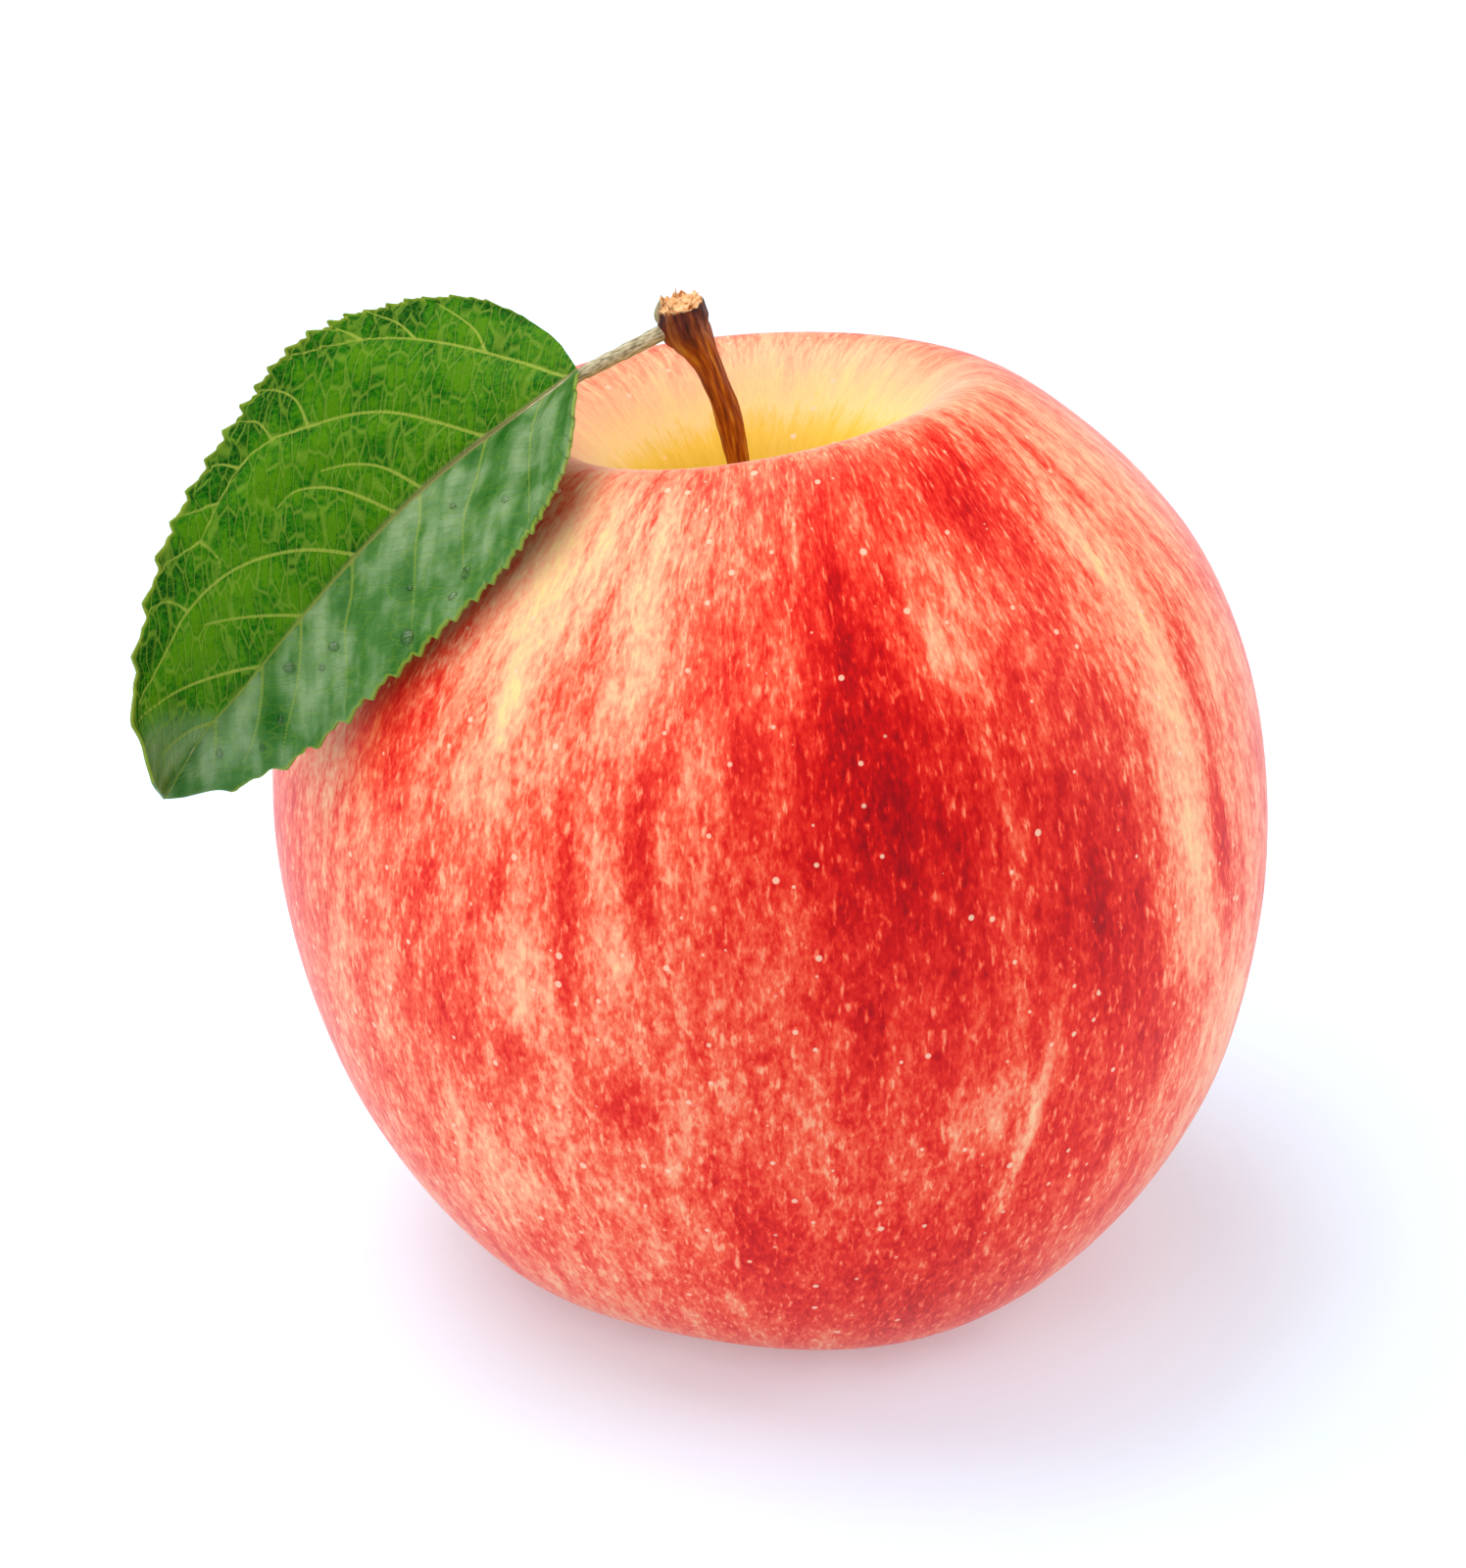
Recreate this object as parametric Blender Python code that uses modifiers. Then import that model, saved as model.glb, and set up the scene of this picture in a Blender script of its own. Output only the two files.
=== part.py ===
"""A picked apple: the fruit, its woody stem, one leaf on a stalk, and the dried calyx underneath.

Metres, +Z up. The apple stands on the XY plane, and the origin is under the middle of its bounding
box. Everything is placed from the core line, a vertical line through the fruit at CORE_PLACE.
"""

import math

import bmesh
import bpy
from mathutils import Matrix, Vector

MM = 0.001
GAP = 0.3 * MM  # clearance between pieces that meet

# Where the foot of the core line is. The sideways part centres the bounding box on the origin. The
# height is what the lobes reach below the foot, less the small flat spots that standing gives them.
CORE_PLACE = Vector((5.7, 0.0, 0.6)) * MM

# Fruit. Heights are above the foot of the core line.
FRUIT_RADIUS = 39.6 * MM
WIDEST_HEIGHT = 37.7 * MM
CREST_RADIUS = 19.3 * MM  # the ridge round the stem cavity
CREST_HEIGHT = 70.6 * MM
CAVITY_DEPTH = 13.5 * MM
FOOT_RADIUS = 14.2 * MM  # the ring of lobes that it stands on
BASIN_DEPTH = 7.0 * MM
OVALNESS = 0.026  # how far the plan is from round, as a share of the radius
OVAL_AZIMUTH = math.radians(-67)
HIGH_SHOULDER = 0.054  # how far the crest is from level, as a share of its height
HIGH_SHOULDER_AZIMUTH = math.radians(-50)
SADDLE = 0.006  # the crest also rises on two opposite sides
SADDLE_AZIMUTH = math.radians(136)
CORE_DRIFT = -2.5 * MM  # how far the crest has grown sideways from the foot
LOBES = 5  # one for each seed chamber
LOBE_AZIMUTH = math.radians(-71)
LOBE_SWELL = 0.3 * MM
FOOT_LOBE = 0.9 * MM
FRUIT_STEPS = 60  # divisions round the core; a multiple of LOBES keeps every lobe the same
PROFILE_STEPS = 4  # divisions between two profile points

# Stem, as centre line points and radii, from its socket in the fruit to its snapped head.
STEM_LINE = (
    ((-2.4, 0.0, 54.8), 0.95),
    ((-2.7, 0.0, 58.9), 0.88),
    ((-3.65, 0.0, 65.6), 0.88),
    ((-4.55, 0.0, 69.9), 1.00),
    ((-5.8, 0.0, 73.4), 1.05),
    ((-6.6, 0.0, 75.2), 1.35),
    ((-7.5, 0.0, 76.8), 1.80),
    ((-7.9, 0.0, 78.2), 1.85),
    ((-8.2, 0.0, 79.4), 1.65),
)
STEM_SIDES = 16
STEM_LINE_STEPS = 4
STEM_SNAP_TILT = math.radians(14)

# Leaf: the midrib is a Bezier curve from the stalk to the tip, and the blade is folded along it.
MIDRIB = ((-15.6, -4.0, 75.2), (-25.9, -7.1, 68.3), (-28.8, -11.9, 70.0), (-47.4, -18.0, 46.3))
BLADE_LEAN = Vector((0.62, 0.195, 0.76))  # with the midrib, this sets the plane of the blade
# Each half of the blade: its greatest width, its fold from that plane, and two powers that shape
# its outline at the stalk and at the tip. The near half is the one over the fruit.
NEAR_HALF = (14.1 * MM, math.radians(19.8), 0.30, 0.53)
FAR_HALF = (13.9 * MM, math.radians(26.4), 0.35, 0.33)
BLADE_THICKNESS = 0.40 * MM
BLADE_ENDS = (0.004, 0.985)  # where the blade starts and ends, as shares of the midrib
BLADE_END_WIDTH = 0.6 * MM
TEETH = 22  # along each margin
TOOTH_DEPTH = 0.55 * MM
ALONG_STEPS = 66
ACROSS_STEPS = 10
STALK_START = Vector((-9.8, -0.6, 76.8)) * MM  # just clear of the stem's head
STALK_RADIUS = 0.60 * MM
RIB_TIP_RADIUS = 0.22 * MM
RIB_STEPS = 18

# Calyx: five dried sepals closed over a tuft of stamens, in the basin underneath.
SEPAL_LENGTH = 5.2 * MM
SEPAL_HALF_WIDTH = 1.35 * MM
SEPAL_THICKNESS = 0.35 * MM
SEPAL_RING_RADIUS = 3.3 * MM
SEPAL_ROOT_HEIGHT = 5.9 * MM
SEPAL_CURLS = (0.9, 1.25, 0.7, 1.1, 0.8)  # how far each one bends inwards, in radians
TUFT_RADIUS = 1.05 * MM
TUFT_TOP = 6.5 * MM
TUFT_LENGTH = 2.6 * MM


def clear_scene():
    for obj in list(bpy.data.objects):
        bpy.data.objects.remove(obj, do_unlink=True)


def new_material(name, colour, roughness):
    """A Principled material. The colour is linear red, green and blue."""
    material = bpy.data.materials.new(name)
    material.use_nodes = True
    shader = material.node_tree.nodes["Principled BSDF"]
    shader.inputs["Base Color"].default_value = (*colour, 1.0)
    shader.inputs["Roughness"].default_value = roughness
    shader.inputs["Metallic"].default_value = 0.0
    return material


def new_object(name, data, collection, parent, material=None):
    obj = bpy.data.objects.new(name, data)
    collection.objects.link(obj)
    obj.parent = parent
    if material:
        data.materials.append(material)
    return obj


def as_cutter(obj):
    obj.hide_render = True
    obj.display_type = "WIRE"


def applied(obj):
    """Gives the object the mesh that its modifiers make, or that its curve makes."""
    bpy.context.view_layer.update()
    graph = bpy.context.evaluated_depsgraph_get()
    mesh = bpy.data.meshes.new_from_object(obj.evaluated_get(graph))
    if obj.type == "MESH":
        obj.modifiers.clear()
        obj.data = mesh
        return obj
    made = bpy.data.objects.new(obj.name, mesh)
    obj.users_collection[0].objects.link(made)
    made.parent = obj.parent
    name = obj.name
    bpy.data.objects.remove(obj, do_unlink=True)
    made.name = name
    return made


def edit_mesh(obj, change):
    """Runs change(bm) on the object's mesh."""
    bm = bmesh.new()
    bm.from_mesh(obj.data)
    change(bm)
    bm.to_mesh(obj.data)
    bm.free()
    obj.data.update()


def combine(obj, other, operation):
    modifier = obj.modifiers.new(operation.lower(), "BOOLEAN")
    modifier.operation = operation
    modifier.object = other
    modifier.solver = "EXACT"
    return applied(obj)


def shade_round(obj, sharp_degrees=40):
    obj.data.shade_smooth()
    obj.data.set_sharp_from_angle(angle=math.radians(sharp_degrees))


def smooth_through(points, steps):
    """Points on a Catmull-Rom curve through the given ones, with steps divisions between two."""
    points = [Vector(p) for p in points]
    ends = [2 * points[0] - points[1], *points, 2 * points[-1] - points[-2]]
    made = []
    for before, start, end, after in zip(ends, ends[1:], ends[2:], ends[3:]):
        for step in range(steps):
            t = step / steps
            made.append(
                0.5
                * (
                    2 * start
                    + (end - before) * t
                    + (2 * before - 5 * start + 4 * end - after) * t**2
                    + (3 * start - before - 3 * end + after) * t**3
                )
            )
    return [*made, points[-1]]


def tube(name, line, radii, sides, collection, parent, material=None):
    """A closed tube along a line of points, with a radius at each."""
    curve = bpy.data.curves.new(name, "CURVE")
    curve.dimensions = "3D"
    curve.bevel_depth = 1.0
    curve.bevel_resolution = sides // 2 - 2
    curve.use_fill_caps = True
    spline = curve.splines.new("POLY")
    spline.points.add(len(line) - 1)
    for point, place, radius in zip(spline.points, line, radii):
        point.co = (*place, 1.0)
        point.radius = radius
    made = applied(new_object(name, curve, collection, parent, material))
    edit_mesh(made, lambda bm: bmesh.ops.remove_doubles(bm, verts=bm.verts, dist=1e-6))
    return made


# The fruit.


def fruit_profile():
    """The outline from the floor of the stem cavity, over the crest and down to the basin."""
    floor = CREST_HEIGHT - CAVITY_DEPTH
    outline = (
        (0.0, floor),
        (3.2 * MM, floor + 0.9 * MM),
        (0.52 * CREST_RADIUS, CREST_HEIGHT - 5.0 * MM),
        (CREST_RADIUS, CREST_HEIGHT),
        (0.875 * FRUIT_RADIUS, CREST_HEIGHT - 13.9 * MM),
        (FRUIT_RADIUS, WIDEST_HEIGHT),
        (0.913 * FRUIT_RADIUS, 17.5 * MM),
        (0.654 * FRUIT_RADIUS, 2.4 * MM),
        (FOOT_RADIUS, 0.0),
        (8.8 * MM, 2.2 * MM),
        (5.2 * MM, 5.0 * MM),
        (2.6 * MM, BASIN_DEPTH - 0.2 * MM),
        (0.0, BASIN_DEPTH),
    )
    points = smooth_through([(r, 0.0, z) for r, z in outline], PROFILE_STEPS)
    return [Vector((max(p.x, 0.0), 0.0, p.z)) for p in points]


def grown(point):
    """Where a point of the evenly turned fruit is on the real, lobed and lopsided one."""
    azimuth = math.atan2(point.y, point.x)
    radius = math.hypot(point.x, point.y)
    up = min(max(point.z / CREST_HEIGHT, 0.0), 1.0)
    lobe = math.cos(LOBES * (azimuth - LOBE_AZIMUTH))
    outwards = min(radius / FOOT_RADIUS, 1.0)
    oval = 1 + OVALNESS * math.cos(2 * (azimuth - OVAL_AZIMUTH))
    swell = LOBE_SWELL * lobe * (1 - up) ** 2 * outwards
    near_foot = math.exp(-(((radius - FOOT_RADIUS) / (0.55 * FOOT_RADIUS)) ** 2))
    foot = FOOT_LOBE * lobe * near_foot * (1 - up) ** 6
    shoulder = HIGH_SHOULDER * math.cos(azimuth - HIGH_SHOULDER_AZIMUTH)
    saddle = SADDLE * math.cos(2 * (azimuth - SADDLE_AZIMUTH))
    lift = 1 + (shoulder + saddle) * up
    wide = radius * oval + swell
    return Vector(
        (
            wide * math.cos(azimuth) + CORE_DRIFT * up,
            wide * math.sin(azimuth),
            point.z * lift - foot,
        )
    )


def add_fruit(collection, cutters, parent, material):
    outline = fruit_profile()
    mesh = bpy.data.meshes.new("fruit")
    mesh.from_pydata(outline, [(i, i + 1) for i in range(len(outline) - 1)], [])
    fruit = new_object("fruit", mesh, collection, parent, material)
    screw = fruit.modifiers.new("turned", "SCREW")
    screw.steps = screw.render_steps = FRUIT_STEPS
    screw.use_merge_vertices = True
    screw.merge_threshold = 0.00005
    applied(fruit)

    def grow_and_rest(bm):
        for vertex in bm.verts:
            vertex.co = grown(vertex.co)
        cut = bmesh.ops.bisect_plane(
            bm,
            geom=bm.verts[:] + bm.edges[:] + bm.faces[:],
            plane_co=(0, 0, -CORE_PLACE.z),
            plane_no=(0, 0, -1),
            clear_outer=True,
        )
        rims = [item for item in cut["geom_cut"] if isinstance(item, bmesh.types.BMEdge)]
        bmesh.ops.holes_fill(bm, edges=rims)

    edit_mesh(fruit, grow_and_rest)

    socket_line = smooth_through([Vector(p) * MM for p, _ in STEM_LINE[:3]], STEM_LINE_STEPS)
    down = (socket_line[0] - socket_line[1]).normalized()
    socket_line[0] += down * GAP
    radii = [STEM_LINE[0][1] * MM + 1.3 * GAP] * len(socket_line)
    socket = tube("stem_socket", socket_line, radii, STEM_SIDES, cutters, parent)
    as_cutter(socket)
    combine(fruit, socket, "DIFFERENCE")
    shade_round(fruit)
    return fruit


# The stem.


def add_stem(collection, parent, material):
    line = smooth_through([Vector(p) * MM for p, _ in STEM_LINE], STEM_LINE_STEPS)
    radii = [p.x for p in smooth_through([(r * MM, 0, 0) for _, r in STEM_LINE], STEM_LINE_STEPS)]
    stem = tube("stem", line, radii, STEM_SIDES, collection, parent, material)

    def snap_off(bm):
        """Cuts the head on a slant, as it tore from the spur."""
        end = line[-1]
        along = (line[-1] - line[-2]).normalized()
        slant = Matrix.Rotation(STEM_SNAP_TILT, 3, "Y") @ along
        cut = bmesh.ops.bisect_plane(
            bm,
            geom=bm.verts[:] + bm.edges[:] + bm.faces[:],
            plane_co=end - along * 0.5 * MM,
            plane_no=slant,
            clear_outer=True,
        )
        rim = [item for item in cut["geom_cut"] if isinstance(item, bmesh.types.BMEdge)]
        bmesh.ops.holes_fill(bm, edges=rim)

    edit_mesh(stem, snap_off)
    shade_round(stem)
    return stem


# The leaf.


def midrib(share):
    """The point on the midrib, and its direction, at a share of the way to the tip."""
    a, b, c, d = (Vector(p) * MM for p in MIDRIB)
    s, t = 1 - share, share
    place = s**3 * a + 3 * s * s * t * b + 3 * s * t * t * c + t**3 * d
    along = 3 * s * s * (b - a) + 6 * s * t * (c - b) + 3 * t * t * (d - c)
    return place, along.normalized()


def half_width(share, half):
    """The width of one half of the blade, at a share of the way to the tip."""
    greatest, _, at_stalk, at_tip = half
    peak = at_stalk / (at_stalk + at_tip)
    most = peak**at_stalk * (1 - peak) ** at_tip
    return greatest * share**at_stalk * (1 - share) ** at_tip / most


def tooth(share):
    """The saw-toothed margin: 0 in a notch, rising towards the tip to 1 at a tooth's point."""
    phase = (share * TEETH) % 1.0
    return phase / 0.75 if phase < 0.75 else (1 - phase) / 0.25


def blade_frame(share):
    """The midrib point, the direction out to the far half, and the way that the blade faces."""
    place, along = midrib(share)
    out = along.cross(BLADE_LEAN).normalized()
    return place, out, out.cross(along)


def blade_point(share, across):
    """A point of the blade. Across is -1 at the near margin, 0 on the midrib, 1 at the far one."""
    place, out, face = blade_frame(share)
    half = FAR_HALF if across > 0 else NEAR_HALF
    fold = half[1]
    width = max(half_width(share, half), BLADE_END_WIDTH)
    notch = min(TOOTH_DEPTH, 0.12 * width) * (1 - tooth(share))
    reach = abs(across) * width - notch * abs(across) ** 6
    return place + out * math.copysign(reach * math.cos(fold), across) + face * reach * math.sin(fold)


def add_leaf(collection, cutters, parent, material):
    mesh = bpy.data.meshes.new("leaf")
    leaf = new_object("leaf", mesh, collection, parent, material)

    def lay_blade(bm):
        bmesh.ops.create_grid(bm, x_segments=ALONG_STEPS, y_segments=ACROSS_STEPS, size=1.0)
        start, end = BLADE_ENDS
        for vertex in bm.verts:
            share = start + (end - start) * (vertex.co.x + 1) / 2
            vertex.co = blade_point(share, vertex.co.y)

    edit_mesh(leaf, lay_blade)
    thick = leaf.modifiers.new("thickness", "SOLIDIFY")
    thick.thickness = BLADE_THICKNESS
    thick.offset = 0.0
    applied(leaf)

    under = []
    for step in range(RIB_STEPS + 1):
        place, _, face = blade_frame(0.985 * step / RIB_STEPS)
        under.append(place - face * 0.22 * MM)
    line = [STALK_START, STALK_START.lerp(under[0], 0.5), *under]
    radii = [
        STALK_RADIUS + (RIB_TIP_RADIUS - STALK_RADIUS) * step / (len(line) - 1)
        for step in range(len(line))
    ]
    stalk = tube("leaf_stalk", line, radii, 10, cutters, parent)
    as_cutter(stalk)
    combine(leaf, stalk, "UNION")
    shade_round(leaf, 60)
    return leaf


# The calyx.


def add_sepal(number, curl, collection, parent, material):
    """One dried sepal: a pointed scale that hangs from the basin and bends in under the eye."""
    name = f"sepal_{number + 1}"
    mesh = bpy.data.meshes.new(name)
    sepal = new_object(name, mesh, collection, parent, material)
    turn = Matrix.Rotation(math.tau * number / LOBES + math.radians(18), 4, "Z")

    def bend(bm):
        bmesh.ops.create_grid(bm, x_segments=6, y_segments=4, size=1.0)
        for vertex in bm.verts:
            along, across = (vertex.co.x + 1) / 2, vertex.co.y
            angle = curl * along
            reach = SEPAL_LENGTH * along
            inwards = reach * math.sin(0.55 * angle)
            down = reach * math.cos(0.55 * angle)
            half = SEPAL_HALF_WIDTH * (1 - 0.86 * along**1.6)
            cup = 0.35 * MM * across * across * (1 - along)
            place = Vector((SEPAL_RING_RADIUS - inwards - cup, half * across, SEPAL_ROOT_HEIGHT - down))
            vertex.co = turn @ place

    edit_mesh(sepal, bend)
    thick = sepal.modifiers.new("thickness", "SOLIDIFY")
    thick.thickness = SEPAL_THICKNESS
    thick.offset = 0.0
    return sepal


def add_tuft(collection, parent, material):
    """The dried stamens, as one blunt bundle in the eye of the calyx."""
    mesh = bpy.data.meshes.new("stamen_tuft")
    tuft = new_object("stamen_tuft", mesh, collection, parent, material)

    def taper(bm):
        bmesh.ops.create_cone(
            bm,
            cap_ends=True,
            segments=10,
            radius1=0.6 * TUFT_RADIUS,
            radius2=TUFT_RADIUS,
            depth=TUFT_LENGTH,
            matrix=Matrix.Translation((0, 0, TUFT_TOP - TUFT_LENGTH / 2)),
        )

    edit_mesh(tuft, taper)
    return tuft


def main():
    clear_scene()
    apple = bpy.data.collections.new("apple")
    cutters = bpy.data.collections.new("cutters")
    for collection in (apple, cutters):
        bpy.context.scene.collection.children.link(collection)
    core = bpy.data.objects.new("core_line", None)
    core.location = CORE_PLACE
    apple.objects.link(core)

    skin = new_material("apple_skin", (0.72, 0.09, 0.05), 0.35)
    wood = new_material("stem_wood", (0.20, 0.07, 0.02), 0.7)
    green = new_material("leaf_green", (0.06, 0.22, 0.03), 0.45)
    dry = new_material("dried_calyx", (0.12, 0.07, 0.04), 0.85)

    add_fruit(apple, cutters, core, skin)
    add_stem(apple, core, wood)
    add_leaf(apple, cutters, core, green)
    for number, curl in enumerate(SEPAL_CURLS):
        add_sepal(number, curl, apple, core, dry)
    add_tuft(apple, core, dry)


main()
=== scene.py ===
"""A picked apple with its stem and one leaf, standing on a pale surface."""

import math

import bpy
import numpy as np
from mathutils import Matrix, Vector, noise


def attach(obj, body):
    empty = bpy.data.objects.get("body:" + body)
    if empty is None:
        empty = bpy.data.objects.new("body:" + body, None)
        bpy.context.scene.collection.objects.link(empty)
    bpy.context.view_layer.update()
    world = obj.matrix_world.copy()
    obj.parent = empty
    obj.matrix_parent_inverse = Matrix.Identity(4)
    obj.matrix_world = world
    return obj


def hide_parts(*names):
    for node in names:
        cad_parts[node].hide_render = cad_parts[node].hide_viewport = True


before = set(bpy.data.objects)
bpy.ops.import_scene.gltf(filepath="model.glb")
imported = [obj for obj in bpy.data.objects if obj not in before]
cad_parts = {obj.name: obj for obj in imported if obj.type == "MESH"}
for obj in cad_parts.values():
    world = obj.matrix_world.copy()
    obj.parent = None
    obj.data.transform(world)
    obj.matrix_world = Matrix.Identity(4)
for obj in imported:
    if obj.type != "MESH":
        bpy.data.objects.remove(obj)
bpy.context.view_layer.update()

# ---------------------------------------------------------------------------------------------
# Fruit. A dessert apple of the long, five-lobed kind, grown in one piece round its core. It is
# firm flesh under a thin waxed skin, and it stands on the flat spots that its weight presses
# into the lobes round the calyx.

MM = 0.001
CORE_PLACE = Vector((5.7, 0.0, 0.6)) * MM  # the foot of the fruit's core line
CREST_HEIGHT = 70.6 * MM
FOOT_RADIUS = 14.2 * MM
LOBES = 5
LOBE_AZIMUTH = math.radians(-71)
LOBE_SWELL = 0.3 * MM  # how far each lobe stands out low on the side
FOOT_DEPTH = 0.9 * MM  # how far the lobes reach down past the hollows between them
OVAL_AZIMUTH = math.radians(-67)
OVALNESS = 0.026
HIGH_SHOULDER_AZIMUTH = math.radians(-50)
SHOULDER_RISE = 0.054
SADDLE_AZIMUTH = math.radians(136)
SADDLE_RISE = 0.006
CROWN_DRIFT = 2.5 * MM  # how far the crown leans to the left
OUTLINE = (  # radius and height, from the stem's socket over the crest to the calyx
    (0.0, 56.2),
    (1.3, 56.6),
    (3.4, 58.5),
    (10.0, 65.6),
    (19.3, 70.6),
    (34.65, 56.7),
    (39.6, 37.7),
    (36.15, 17.5),
    (25.9, 2.4),
    (14.2, 0.0),
    (8.8, 2.2),
    (5.2, 5.0),
    (2.6, 6.8),
    (0.0, 7.0),
)
OUTLINE_STEPS = 13  # divisions between two points of the outline
TURN_STEPS = 260  # divisions round the core
MEASURED_AT_ONCE = 4000  # points, so that the tables of distances stay small


def deselect_all():
    if bpy.context.object and bpy.context.object.mode != "OBJECT":
        bpy.ops.object.mode_set(mode="OBJECT")
    bpy.ops.object.select_all(action="DESELECT")


def make_active(obj):
    deselect_all()
    obj.select_set(True)
    bpy.context.view_layer.objects.active = obj


def smooth_through(points, steps):
    """Points on a smooth curve through the given ones, with steps divisions between two."""
    points = [Vector(p) for p in points]
    ends = [2 * points[0] - points[1], *points, 2 * points[-1] - points[-2]]
    made = []
    for before, start, end, after in zip(ends, ends[1:], ends[2:], ends[3:]):
        for step in range(steps):
            t = step / steps
            bend = (2 * before - 5 * start + 4 * end - after) * t**2
            turn = (3 * start - before - 3 * end + after) * t**3
            made.append(0.5 * (2 * start + (end - before) * t + bend + turn))
    return [*made, points[-1]]


def read_points(mesh):
    places = np.empty(len(mesh.vertices) * 3)
    mesh.vertices.foreach_get("co", places)
    return places.reshape(-1, 3)


def write_points(mesh, places):
    mesh.vertices.foreach_set("co", np.asarray(places, dtype=np.float32).ravel())
    mesh.update()


def write_field(mesh, name, values):
    """Keeps one number, or one vector, for each point of the mesh, for a material to read."""
    values = np.asarray(values, dtype=np.float32)
    kind, slot = ("FLOAT", "value") if values.ndim == 1 else ("FLOAT_VECTOR", "vector")
    field = mesh.attributes.new(name, kind, "POINT")
    field.data.foreach_set(slot, values.ravel())


def rough(places, size):
    """Smooth noise at each place, from about -1 to 1, with lumps of the given size."""
    return np.array([noise.noise(Vector(place) / size) for place in places])


def ease(values, low, high):
    """0 below low and 1 above high, with a smooth rise between them."""
    t = np.clip((np.asarray(values) - low) / (high - low), 0, 1)
    return t * t * (3 - 2 * t)


def patch(azimuth, along, place, spread, lean=0.0):
    """How far a point of the skin is inside a soft patch: 1 at its middle, 0 outside."""
    turn = np.degrees(azimuth) - place[0] - lean * (along - place[1])
    turn = (turn + 180) % 360 - 180
    return np.exp(-((turn / spread[0]) ** 2) - ((along - place[1]) / spread[1]) ** 2)


deselect_all()
outline = smooth_through([(r * MM, 0.0, z * MM) for r, z in OUTLINE], OUTLINE_STEPS)
outline = [Vector((max(p.x, 0.0), 0.0, p.z)) for p in outline]
mesh = bpy.data.meshes.new("apple_fruit")
mesh.from_pydata(outline, [(i, i + 1) for i in range(len(outline) - 1)], [])
fruit = bpy.data.objects.new("apple_fruit", mesh)
bpy.context.scene.collection.objects.link(fruit)
make_active(fruit)
bpy.ops.object.mode_set(mode="EDIT")
bpy.ops.mesh.select_all(action="SELECT")
bpy.ops.mesh.spin(steps=TURN_STEPS, angle=math.tau, center=(0, 0, 0), axis=(0, 0, 1))
bpy.ops.mesh.select_all(action="SELECT")
bpy.ops.mesh.remove_doubles(threshold=0.00002)
bpy.ops.mesh.normals_make_consistent(inside=False)
bpy.ops.object.mode_set(mode="OBJECT")

# The turned shape grows into the real one: oval, high on one shoulder, and five-lobed at its foot.
turned = read_points(fruit.data)
azimuth = np.arctan2(turned[:, 1], turned[:, 0])
radius = np.hypot(turned[:, 0], turned[:, 1])
up = np.clip(turned[:, 2] / CREST_HEIGHT, 0, 1)
lobe = np.cos(LOBES * (azimuth - LOBE_AZIMUTH))
outwards = np.clip(radius / FOOT_RADIUS, 0, 1)
wide = radius * (1 + OVALNESS * np.cos(2 * (azimuth - OVAL_AZIMUTH)))
wide += LOBE_SWELL * lobe * (1 - up) ** 2 * outwards
foot = FOOT_DEPTH * lobe * np.exp(-(((radius - FOOT_RADIUS) / (0.55 * FOOT_RADIUS)) ** 2))
shoulder = SHOULDER_RISE * np.cos(azimuth - HIGH_SHOULDER_AZIMUTH)
saddle = SADDLE_RISE * np.cos(2 * (azimuth - SADDLE_AZIMUTH))
grown = np.stack(
    (
        wide * np.cos(azimuth) - CROWN_DRIFT * up,
        wide * np.sin(azimuth),
        turned[:, 2] * (1 + (shoulder + saddle) * up) - foot * (1 - up) ** 6,
    ),
    axis=1,
)

# Slow dents and swellings, a few tenths of a millimetre, as flesh grows unevenly.
outward = turned / np.maximum(np.linalg.norm(turned, axis=1, keepdims=True), 1e-6)
away = np.clip(radius / (8 * MM), 0, 1)
for size, height in ((17 * MM, 0.16 * MM), (7 * MM, 0.05 * MM)):
    grown += outward * (rough(grown, size) * height * away)[:, None]

# How far along the skin each point is from the stem, in mm, and how red the sun has made it.
steps = np.array([(p.x, p.z) for p in outline])
lengths = np.concatenate(([0], np.cumsum(np.linalg.norm(np.diff(steps, axis=0), axis=1))))
nearest = np.empty(len(turned), dtype=int)
for start in range(0, len(turned), MEASURED_AT_ONCE):
    part = slice(start, start + MEASURED_AT_ONCE)
    gaps = (radius[part, None] - steps[:, 0]) ** 2 + (turned[part, 2, None] - steps[:, 1]) ** 2
    nearest[part] = gaps.argmin(axis=1)
along = lengths[nearest] / MM
for height, place, spread in ((-0.40 * MM, (14, 37), (38, 13)), (0.22 * MM, (96, 21), (30, 8))):
    grown += outward * (height * patch(azimuth, along, place, spread))[:, None]
grown += np.array(CORE_PLACE)
grown[:, 2] = np.maximum(grown[:, 2], 0.0)
write_points(fruit.data, grown)

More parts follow.
